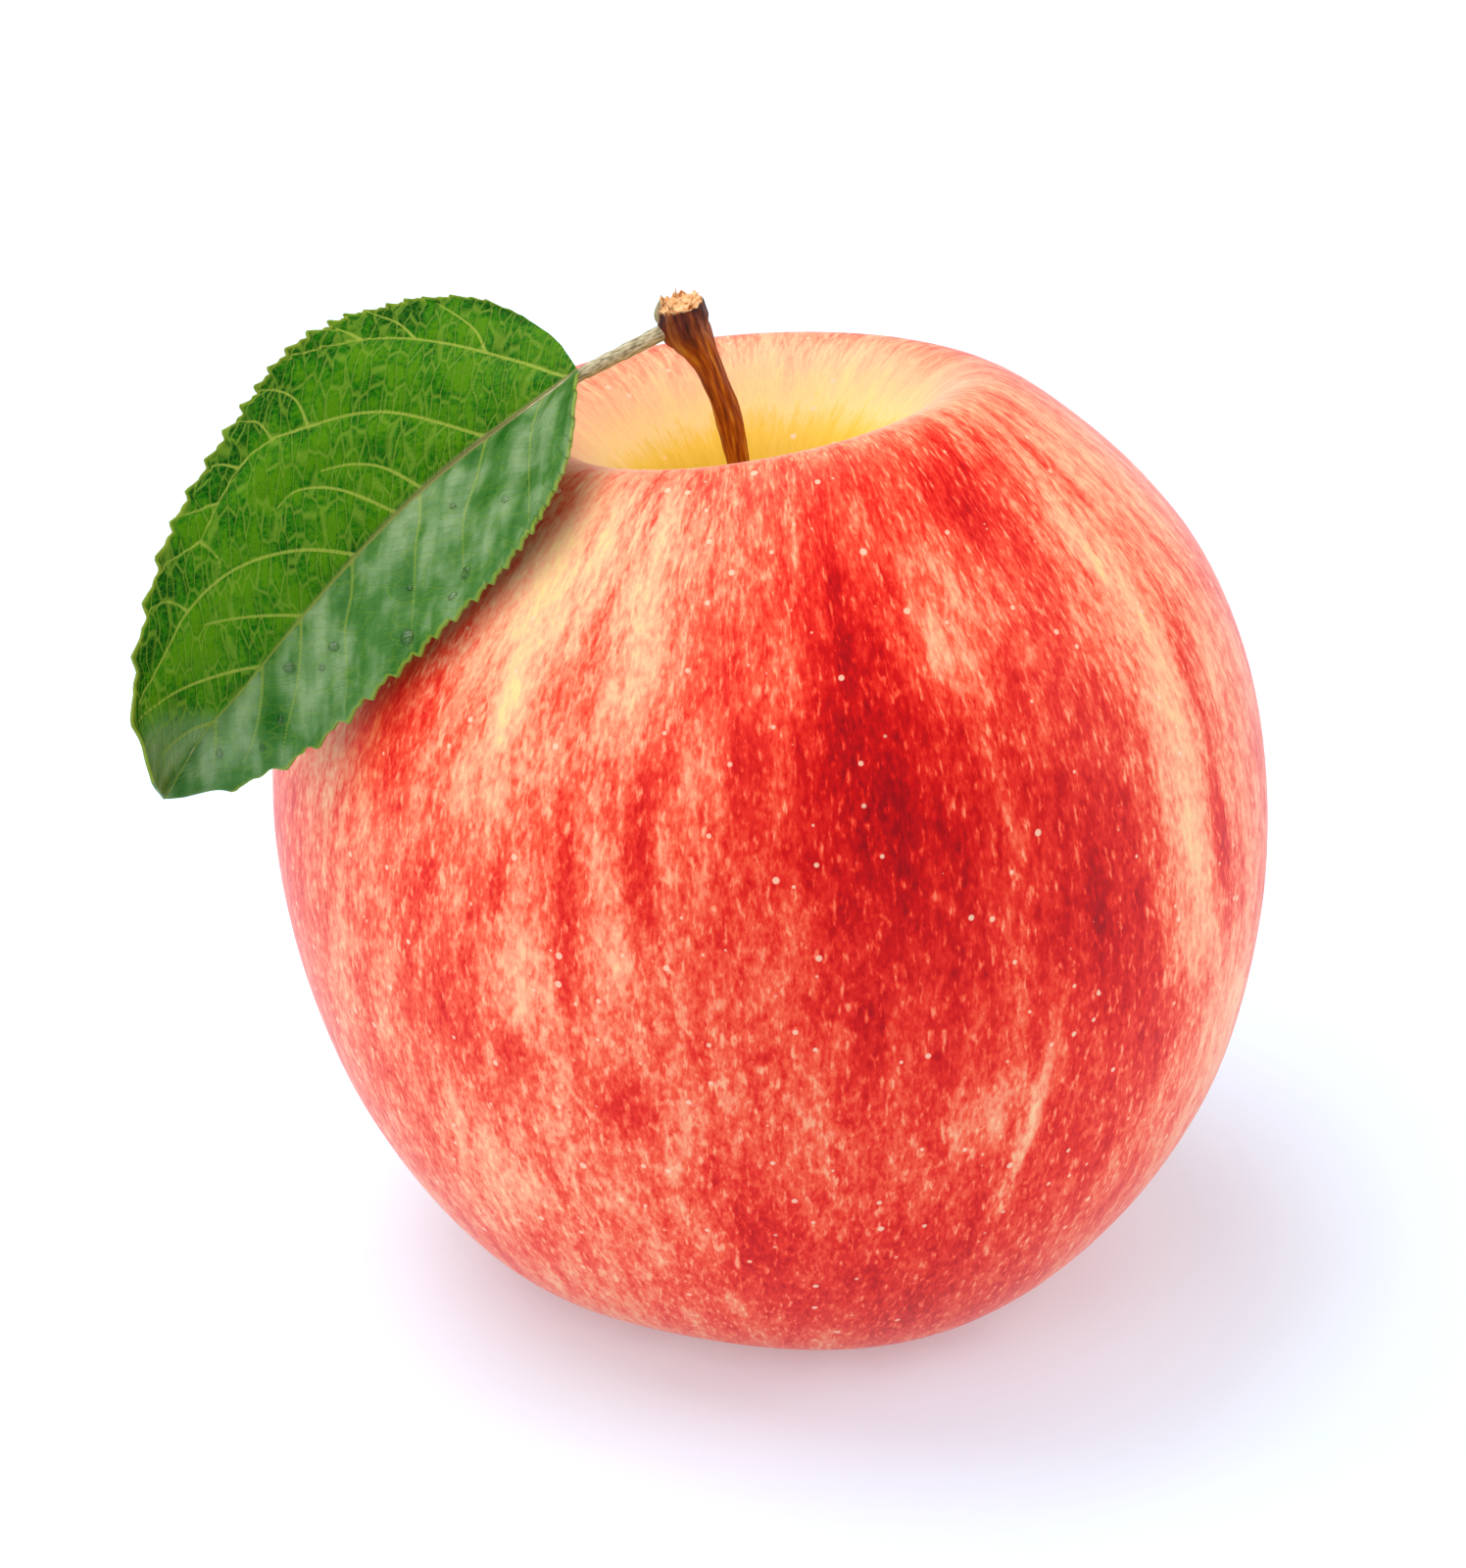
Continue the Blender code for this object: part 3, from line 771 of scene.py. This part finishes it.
NEAR_VEINS = (
    ((0.09, 0.0), (0.17, -0.30), (0.27, -0.62), (0.36, -0.9)),
    ((0.26, 0.0), (0.36, -0.25), (0.455, -0.44), (0.55, -0.80)),
    ((0.47, 0.0), (0.51, -0.16), (0.565, -0.33), (0.65, -0.70), (0.69, -0.92)),
    ((0.65, 0.0), (0.69, -0.19), (0.735, -0.37), (0.77, -0.63), (0.81, -0.90)),
    ((0.763, 0.0), (0.82, -0.35), (0.87, -0.62), (0.90, -0.9)),
    ((0.837, 0.0), (0.88, -0.32), (0.925, -0.65)),
    ((0.91, 0.0), (0.94, -0.4)),
)


def midrib_at(share):
    """The midrib's places in mm and its directions, at shares of the way to the tip."""
    a, b, c, d = (np.array(p) for p in MIDRIB)
    t = np.asarray(share)[..., None]
    s = 1 - t
    place = s**3 * a + 3 * s * s * t * b + 3 * s * t * t * c + t**3 * d
    way = 3 * s * s * (b - a) + 6 * s * t * (c - b) + 3 * t * t * (d - c)
    return place, way / np.linalg.norm(way, axis=-1, keepdims=True)


def half_width(share, across):
    """How wide the blade is on that side of the midrib, in mm."""
    made = 0
    for half, here in ((FAR_HALF, across > 0), (NEAR_HALF, across <= 0)):
        greatest, _, at_stalk, at_tip = half
        peak = at_stalk / (at_stalk + at_tip)
        most = peak**at_stalk * (1 - peak) ** at_tip
        made = made + here * greatest * share**at_stalk * (1 - share) ** at_tip / most
    return np.maximum(made, 0.35)


def saw(phase):
    """One tooth: 0 in its notch, rising towards the tip, and 1 at its point."""
    phase = phase % 1.0
    return np.where(phase < 0.78, (phase / 0.78) ** 1.3, (1 - phase) / 0.22)


shares = np.linspace(0, 1, 400)
rib_places, _ = midrib_at(shares)
rib_lengths = np.concatenate(
    ([0], np.cumsum(np.linalg.norm(np.diff(rib_places, axis=0), axis=1)))
)


def laid_flat(share, across):
    """A blade point's place in mm if the blade were laid flat: along, and out from the midrib."""
    return np.stack((np.interp(share, shares, rib_lengths), across * half_width(share, across)), -1)


deselect_all()
bpy.ops.mesh.primitive_grid_add(
    x_subdivisions=BLADE_ALONG, y_subdivisions=BLADE_ACROSS, size=2
)
blade = bpy.context.object
blade.name = blade.data.name = "apple_leaf"
flat = read_points(blade.data)
share = BLADE_START + BLADE_LENGTH * (flat[:, 0] + 1) / 2
across = flat[:, 1]
far = across > 0
rib_place, way = midrib_at(share)
out = np.cross(way, BLADE_LEAN)
out /= np.linalg.norm(out, axis=1, keepdims=True)
face = np.cross(out, way)
fold = np.where(far, FAR_HALF[1], NEAR_HALF[1])
width = half_width(share, across)
edge = np.abs(across)
seed = np.where(far, 0.0, 40.0)
wander = rough(np.stack((share * 9 + seed, seed, seed), axis=1), 1.0)
teeth = saw(share * TEETH + 0.45 * wander)
small_teeth = saw(share * TEETH * 2 + 0.9 * wander + 0.3)
depth = np.where(far, FAR_TOOTH_DEPTH, NEAR_TOOTH_DEPTH) * (1 + 0.5 * wander)
depth = np.minimum(depth, 0.13 * width)
reach = edge * width - depth * (1 - teeth * 0.72 - small_teeth * 0.28) * edge**7

# Distances in mm from each point of the blade to the veins, with the blade laid flat.
here = laid_flat(share, across)
vein_gap = np.full(len(flat), 9.0)
for vein in FAR_VEINS + NEAR_VEINS:
    route = np.array(smooth_through([(s, a, 0) for s, a in vein], 40))
    side_of_rib = np.sign(route[-1, 1]) * np.maximum(np.abs(route[:, 1]), 1e-4)
    points = laid_flat(route[:, 0], side_of_rib)
    run = np.concatenate(([0], np.cumsum(np.linalg.norm(np.diff(points, axis=0), axis=1))))
    thin = 0.13 - 0.07 * run / run[-1] - (0.03 if vein[0][1] else 0.0)
    mine = np.flatnonzero((across > 0) == (route[-1, 1] > 0))
    for start in range(0, len(mine), MEASURED_AT_ONCE):
        part = mine[start : start + MEASURED_AT_ONCE]
        apart = np.linalg.norm(here[part, None] - points[None], axis=2)
        closest = apart.argmin(axis=1)
        vein_gap[part] = np.minimum(vein_gap[part], apart.min(axis=1) - thin[closest])
rib_gap = np.abs(here[:, 1]) - (0.31 - 0.20 * share)
gap = np.minimum(vein_gap, rib_gap)

# The blade lies in slow waves, puffs up between the veins, and sinks along them.
puff = 1 - np.exp(-((np.maximum(gap, 0) / 1.5) ** 2))
wave = rough(np.stack((here[:, 0], here[:, 1], seed), axis=1), 7.0)
dents = rough(np.stack((here[:, 0], here[:, 1] * 0.6, seed + 9), axis=1), 2.4)
lift = np.where(far, 0.30, 0.50) * puff + 0.35 * wave * edge + 0.10 * dents * puff
lift += 0.45 * np.sin(share * 17 + seed) * edge**4 * (width > 5)
lift -= 0.10 * np.exp(-((np.maximum(gap, 0) / 0.22) ** 2))
slant = np.where(far, 1, -1) * reach
forward = 0.30 * (teeth - 0.4) * edge**7 * np.minimum(width / 6, 1)
tip_bend = ease(share, 0.86, 1.0)[:, None] * np.array((-1.15, 0.0, -0.2))
tip_bend += (ease(share, 0.915, 0.985) * (1 - edge))[:, None] * np.array((-0.2, 0.0, -2.4))
places = (
    rib_place
    + tip_bend
    + out * (slant * np.cos(fold))[:, None]
    + face * (reach * np.sin(fold) + lift * np.minimum(width / 6, 1))[:, None]
    + way * forward[:, None]
)
write_points(blade.data, places * MM + np.array(CORE_PLACE))
write_field(blade.data, "vein_gap", gap)
# The small veins run at right angles to the laterals, so they have their own slanted directions.
beside = np.abs(here[:, 1])
sway = 0.22 * rough(np.stack((here[:, 0], beside, seed), axis=1), 2.6)
onward, inward = (here[:, 0] + beside) / 1.414 + sway, (beside - here[:, 0]) / 1.414
write_field(blade.data, "ladder", np.stack((onward, inward, seed), axis=1))
write_field(blade.data, "rim", ease(edge, 0.70, 1.0))
write_field(blade.data, "lay", np.stack((here[:, 0], here[:, 1], seed), axis=1))
# The tip twists over, so it takes the near half's painted sheen colour there.
twisted = 0.9 * ease(share - 0.04 * edge, 0.895, 0.925)
near_side = np.maximum(1 - ease(across * width, -0.5, 0.5), twisted)
write_field(blade.data, "near", near_side)
write_field(blade.data, "margin", ease(edge * width, width - 0.40, width - 0.05))
write_field(blade.data, "rib", ease(-rib_gap, -0.15, 0.05) * ease(-share, -0.95, -0.3))
wall = blade.modifiers.new("wall", "SOLIDIFY")
wall.thickness = BLADE_THICKNESS
wall.offset = 0.0
make_active(blade)
bpy.ops.object.modifier_apply(modifier="wall")
normals = np.empty(len(blade.data.vertices) * 3)
blade.data.vertices.foreach_get("normal", normals)
faces_up = (normals.reshape(-1, 3) * np.tile(face, (2, 1))).sum(axis=1)
write_field(blade.data, "upper", ease(faces_up, -0.2, 0.2))

# Apple leaf: soft tissue under a waxy cuticle, so it is glossy at a slant, and it lets light
# through, when it turns a bright yellow-green with its veins standing out pale.
tissue, tree, surface = new_material("apple_leaf_tissue")
lay = add(tree, "Attribute", out="Vector", attribute_name="lay")
gap_field = add(tree, "Attribute", out="Fac", attribute_name="vein_gap")
near = add(tree, "Attribute", out="Fac", attribute_name="near")
upper = add(tree, "Attribute", out="Fac", attribute_name="upper")
margin = add(tree, "Attribute", out="Fac", attribute_name="margin")
rib = add(tree, "Attribute", out="Fac", attribute_name="rib")
rim = add(tree, "Attribute", out="Fac", attribute_name="rim")
slanted = add(tree, "Attribute", out="Vector", attribute_name="ladder")
ladder_place = add(tree, "VectorMath", {0: slanted, 1: (1.40, 0.36, 1.0)}, operation="MULTIPLY")
# The veins that cross between the laterals are about 1.2 mm apart, the finest net about 0.5 mm.
crossing = add(
    tree,
    "TexVoronoi",
    {"Vector": ladder_place, "Scale": 1.0, "Randomness": 0.75},
    out="Distance",
    feature="DISTANCE_TO_EDGE",
)
sheen_band_place = add(tree, "VectorMath", {0: slanted, 1: (0.10, 0.42, 1.0)}, operation="MULTIPLY")
painted_sheen_bands = add(tree, "TexNoise", {"Vector": sheen_band_place, "Scale": 1.0, "Detail": 3.0}, out="Fac")
blotches = add(tree, "TexNoise", {"Vector": lay, "Scale": 0.30, "Detail": 4.0}, out="Fac")
far_tone = add(tree, "Math", {0: blotches, 1: 0.65, 2: 0.185}, operation="MULTIPLY_ADD")
far_tone = add(tree, "Math", {0: rim, 1: -0.15, 2: far_tone}, operation="MULTIPLY_ADD")
cells = add(tree, "TexNoise", {"Vector": lay, "Scale": 2.3, "Detail": 2.0}, out="Fac")
cells = add(tree, "Math", {0: cells, 1: 0.5}, operation="SUBTRACT")
far_tone = add(tree, "Math", {0: cells, 1: 0.36, 2: far_tone}, operation="MULTIPLY_ADD")
# Painted shade: between those veins the blade is puffed up, and its colour is painted palest at the
# middle of each cell and darker by the veins.
painted_puff_shading = add(tree, "MapRange", {"Value": crossing, "To Min": -0.09, "To Max": 0.36})
far_tone = add(tree, "Math", {0: far_tone, 1: painted_puff_shading}, operation="ADD")
# Painted light: the far half's bright yellow-green stands in for light coming through it from
# behind.
far_green_painted_backlight = add(
    tree,
    "ValToRGB",
    {"Fac": far_tone},
    out="Color",
    stops=(
        (0.31, hex_colour("#075404")),
        (0.43, hex_colour("#257a02")),
        (0.56, hex_colour("#599502")),
    ),
)
# Painted sheen: the near half's grey-green, in bands along the laterals, stands in for a sheen from
# the lights.
near_tone = add(tree, "Mix", {0: 0.45, 2: painted_sheen_bands, 3: blotches}, data_type="FLOAT")
near_green_painted_sheen = add(
    tree,
    "ValToRGB",
    {"Fac": near_tone},
    out="Color",
    stops=(
        (0.35, hex_colour("#23691c")),
        (0.47, hex_colour("#528741")),
        (0.60, hex_colour("#94b280")),
    ),
)
green = add(tree, "Mix", {0: near, 6: far_green_painted_backlight, 7: near_green_painted_sheen}, out=2, data_type="RGBA")


def vein_lines(distance, thick, soft):
    """1 on a line of that thickness, fading to 0 over the soft distance beside it."""
    return add(
        tree,
        "MapRange",
        {"Value": distance, "From Min": thick, "From Max": thick + soft, "To Min": 1, "To Max": 0},
        interpolation_type="SMOOTHSTEP",
    )


net = add(
    tree,
    "TexVoronoi",
    {"Vector": lay, "Scale": 1.9, "Randomness": 1.0},
    out="Distance",
    feature="DISTANCE_TO_EDGE",
)
crossing_lines = vein_lines(crossing, 0.01, 0.08)
net_lines = vein_lines(net, 0.01, 0.12)
main_lines = vein_lines(gap_field, -0.03, 0.12)
# Painted light: the veins stand out pale on the far half, as when lit through from behind, and only
# faintly on the near half.
strength = add(tree, "MapRange", {"Value": near, "To Min": 0.60, "To Max": 0.18})
faint = add(tree, "MapRange", {"Value": near, "To Min": 0.30, "To Max": 0.08})
strong = add(tree, "MapRange", {"Value": near, "To Min": 0.85, "To Max": 0.40})
for lines, weight, colour in (
    (net_lines, faint, "#6fa024"),
    (crossing_lines, strength, "#8ab032"),
    (main_lines, strong, "#b0c24c"),
):
    amount = add(tree, "Math", {0: lines, 1: weight}, operation="MULTIPLY")
    green = add(
        tree, "Mix", {0: amount, 6: green, 7: hex_colour(colour)}, out=2, data_type="RGBA"
    )
under = add(tree, "Mix", {0: 0.55, 6: green, 7: hex_colour("#9fb98a")}, out=2, data_type="RGBA")
green = add(tree, "Mix", {0: upper, 6: under, 7: green}, out=2, data_type="RGBA")
edge_weight = add(tree, "Math", {0: margin, 1: 0.65}, operation="MULTIPLY")
green = add(
    tree, "Mix", {0: edge_weight, 6: green, 7: hex_colour("#a9b83c")}, out=2, data_type="RGBA"
)
green = add(tree, "Mix", {0: rib, 6: green, 7: hex_colour("#96925a")}, out=2, data_type="RGBA")
hollow = add(tree, "Math", {0: crossing_lines, 1: -1.0}, operation="MULTIPLY")
hollow = add(tree, "Math", {0: net_lines, 1: -0.35, 2: hollow}, operation="MULTIPLY_ADD")
leaf_bump = add(tree, "Bump", {"Height": hollow, "Strength": 0.5, "Distance": 0.09 * MM})
shine = add(tree, "MapRange", {"Value": blotches, "To Min": 0.34, "To Max": 0.52})
cuticle = add(
    tree,
    "BsdfPrincipled",
    {"Base Color": green, "Roughness": shine, "Specular IOR Level": 0.10, "Normal": leaf_bump},
)
glow = add(tree, "BsdfTranslucent", {"Color": green, "Normal": leaf_bump})
tree.links.new(add(tree, "MixShader", {0: 0.32, 1: cuticle, 2: glow}), surface)
dress(blade, tissue, "leaf_green", "leaf")

# The stalk runs on as the rib under the blade. It is round, greyish and downy, and it starts at the
# side of the stem's knob, beside a small dried bud scale.
STALK_START = Vector((-8.9, -0.35, 77.0))
STALK_STEPS = 24
RIB_STEPS = 60
under_places, under_way = midrib_at(np.linspace(0, 0.97, RIB_STEPS))
under_out = np.cross(under_way, BLADE_LEAN)
under_out /= np.linalg.norm(under_out, axis=1, keepdims=True)
under_face = np.cross(under_out, under_way)
rib_line = [Vector(p) for p in under_places - under_face * 0.30]
line = [STALK_START.lerp(rib_line[0], k / STALK_STEPS) for k in range(STALK_STEPS)] + rib_line
radii = [0.62 - 0.10 * k / STALK_STEPS for k in range(STALK_STEPS)]
radii += [0.46 - 0.34 * (k / len(rib_line)) ** 0.6 for k in range(len(rib_line))]
radii[0] = radii[-1] = 0.0
line = [p * MM + CORE_PLACE for p in line]
radii = [r * MM for r in radii]
stalk, turns, ring, outward = rolled_tube("leaf_stalk", line, radii, 28)
places = read_points(stalk.data)
bumps = 0.05 * rough(places, 0.5 * MM) + 0.05 * rough(places, 1.6 * MM)
girth = np.array(radii)[ring]
places += outward * (bumps * girth / 0.6)[:, None]
write_points(stalk.data, places)
write_field(stalk.data, "under", ease(-outward[:, 2], -0.1, 0.8))
write_field(stalk.data, "lie", np.stack((np.cos(turns), np.sin(turns), ring * 0.35), axis=1))
close_tube(stalk)

scale_root = Vector((-9.65, -0.5, 77.5)) * MM + CORE_PLACE
scale_line = smooth_through(
    [scale_root + Vector(p) * MM for p in ((0, 0, 0), (-0.15, 0, 0.8), (0.05, 0, 2.0))], 8
)
scale_radii = [0.28 * MM * math.sin(math.pi * (0.12 + 0.88 * k / 16)) ** 0.7 for k in range(16)]
scale, turns, ring, _ = rolled_tube("bud_scale", scale_line, [*scale_radii, 0.0], 12, (0, 1, 0))
write_field(scale.data, "under", ease(np.cos(turns), 0, 1) * 0.4)
write_field(scale.data, "lie", np.stack((np.cos(turns), np.sin(turns), ring * 0.2), axis=1))
close_tube(scale)
stalk = join_pieces("leaf_stalk", [stalk, scale])

# Downy stalk: green tissue under grey hairs, beige from above and olive below, with dark specks.
down_skin, tree, surface = new_material("downy_leaf_stalk")
lie = add(tree, "Attribute", out="Vector", attribute_name="lie")
below = add(tree, "Attribute", out="Fac", attribute_name="under")
speck_place = add(tree, "VectorMath", {0: lie, 1: (1.6, 1.6, 0.7)}, operation="MULTIPLY")
specks = add(tree, "TexNoise", {"Vector": speck_place, "Scale": 2.0, "Detail": 4.0}, out="Fac")
beige = add(
    tree,
    "ValToRGB",
    {"Fac": specks},
    out="Color",
    stops=(
        (0.34, hex_colour("#6f6245")),
        (0.48, hex_colour("#a89a74")),
        (0.64, hex_colour("#c9bd9c")),
    ),
)
stalk_mix = add(
    tree, "Mix", {0: below, 6: beige, 7: hex_colour("#8e8a3a")}, out=2, data_type="RGBA"
)
stalk_bump = add(tree, "Bump", {"Height": specks, "Strength": 0.5, "Distance": 0.08 * MM})
tree.links.new(
    add(
        tree,
        "BsdfPrincipled",
        {
            "Base Color": stalk_mix,
            "Roughness": 0.7,
            "Normal": stalk_bump,
            "Sheen Weight": 0.3,
            "Sheen Roughness": 0.5,
        },
    ),
    surface,
)
dress(stalk, down_skin, "leaf_green", "leaf")

# ---------------------------------------------------------------------------------------------
# Water drops. A few small beads that were left on the near half of the leaf when it was sprayed.

DROPS = (  # share along the midrib and out to the margin, and radius in mm
    (0.53, -0.75, 0.50),
    (0.58, -0.84, 0.36),
    (0.76, -0.41, 0.42),
    (0.68, -0.80, 0.58),
    (0.93, -0.34, 0.34),
    (0.82, -0.22, 0.46),
    (0.79, -0.46, 0.30),
    (0.87, -0.52, 0.32),
    (0.36, -0.62, 0.34),
    (0.45, -0.30, 0.28),
    (0.90, -0.62, 0.30),
    (0.62, -0.52, 0.26),
)
upper_places = read_points(blade.data)
all_normals = normals.reshape(-1, 3)
on_top = np.flatnonzero(faces_up > 0.5)
beads = []
tiled = np.tile(np.stack((share, across), axis=1), (2, 1))
for number, (s, a, size) in enumerate(DROPS):
    near_by = on_top[np.abs(tiled[on_top] - (s, a)).sum(axis=1).argmin()]
    normal = Vector(all_normals[near_by])
    deselect_all()
    bpy.ops.mesh.primitive_uv_sphere_add(segments=28, ring_count=14, radius=size * MM)
    bead = bpy.context.object
    bead.name = f"bead_{number}"
    shape = read_points(bead.data)
    stretch = 1 + 0.15 * math.sin(number * 2.1)
    shape *= (stretch, 1 / stretch, 0.42)
    shape[:, 2] = np.maximum(shape[:, 2], -0.16 * size * MM)
    turn_to = np.array(normal.to_track_quat("Z", "X").to_matrix())
    seat = Vector(upper_places[near_by]) + normal * 0.06 * size * MM
    write_points(bead.data, shape @ turn_to.T + np.array(seat))
    beads.append(bead)
drops = join_pieces("water_drops", beads)

# Water: clear and smooth, so it shows only as small lenses with a bright spot and a dark edge.
water, tree, surface = new_material("clear_water")
ripple = add(
    tree,
    "TexNoise",
    {"Vector": add(tree, "TexCoord", out="Object"), "Scale": 1 / (0.8 * MM)},
    out="Fac",
)
film = add(tree, "Bump", {"Height": ripple, "Strength": 0.1, "Distance": 0.02 * MM})
tree.links.new(
    add(
        tree,
        "BsdfPrincipled",
        {
            "Base Color": (1.0, 1.0, 1.0, 1.0),
            "Roughness": 0.02,
            "IOR": 1.333,
            "Transmission Weight": 1.0,
            "Normal": film,
        },
    ),
    surface,
)
dress(drops, water, "leaf_green")

# ---------------------------------------------------------------------------------------------
# Ground, light and camera: a white sweep under wide soft lights, seen from a little above.

bpy.ops.mesh.primitive_plane_add(size=6.0, location=(0, 1.0, 0))
ground = bpy.context.object
ground.name = "white_ground"
paper, tree, surface = new_material("white_paper")
grain = add(
    tree,
    "TexNoise",
    {"Vector": add(tree, "TexCoord", out="Object"), "Scale": 400.0, "Detail": 2.0},
    out="Fac",
)
tint = add(
    tree,
    "Mix",
    {0: grain, 6: hex_colour("#d1e7f6"), 7: hex_colour("#cee5f5")},
    out=2,
    data_type="RGBA",
)
tree.links.new(
    add(
        tree,
        "BsdfPrincipled",
        {
            "Base Color": tint,
            "Roughness": 0.6,
            "Emission Color": (0.92, 0.92, 1.0, 1.0),
            "Emission Strength": 0.28,
        },
    ),
    surface,
)
ground.data.materials.append(paper)

world = bpy.data.worlds.new("white_room")
bpy.context.scene.world = world
world.use_nodes = True
world.node_tree.nodes["Background"].inputs["Color"].default_value = (1.0, 1.0, 1.0, 1.0)
world.node_tree.nodes["Background"].inputs["Strength"].default_value = 0.53


def add_softbox(name, place, target, size, watts):
    light = bpy.data.lights.new(name, "AREA")
    light.shape = "RECTANGLE"
    light.size, light.size_y = size
    light.energy = watts
    lamp = bpy.data.objects.new(name, light)
    lamp.location = place
    lamp.rotation_euler = (Vector(target) - Vector(place)).to_track_quat("-Z", "Y").to_euler()
    bpy.context.scene.collection.objects.link(lamp)


add_softbox("top_back_softbox", (-0.28, 0.16, 0.75), (0, 0, 0.05), (0.8, 0.6), 5.4)
add_softbox("right_softbox", (0.60, -0.05, 0.30), (0, 0, 0.05), (0.3, 0.6), 1.5)
add_softbox("front_fill", (-0.45, -0.60, 0.55), (0, 0, 0.04), (0.6, 0.6), 2.3)

camera_data = bpy.data.cameras.new("camera")
camera_data.lens = 161.1
camera_data.sensor_width = 36.0
camera = bpy.data.objects.new("camera", camera_data)
camera.location = CORE_PLACE + Vector((-4.085, -487.83, 291.82)) * MM
aim = CORE_PLACE + Vector((-4.085, 0.0, 37.954)) * MM
camera.rotation_euler = (aim - camera.location).to_track_quat("-Z", "Y").to_euler()
bpy.context.scene.collection.objects.link(camera)
bpy.context.scene.camera = camera
bpy.context.scene.view_settings.view_transform = "Standard"
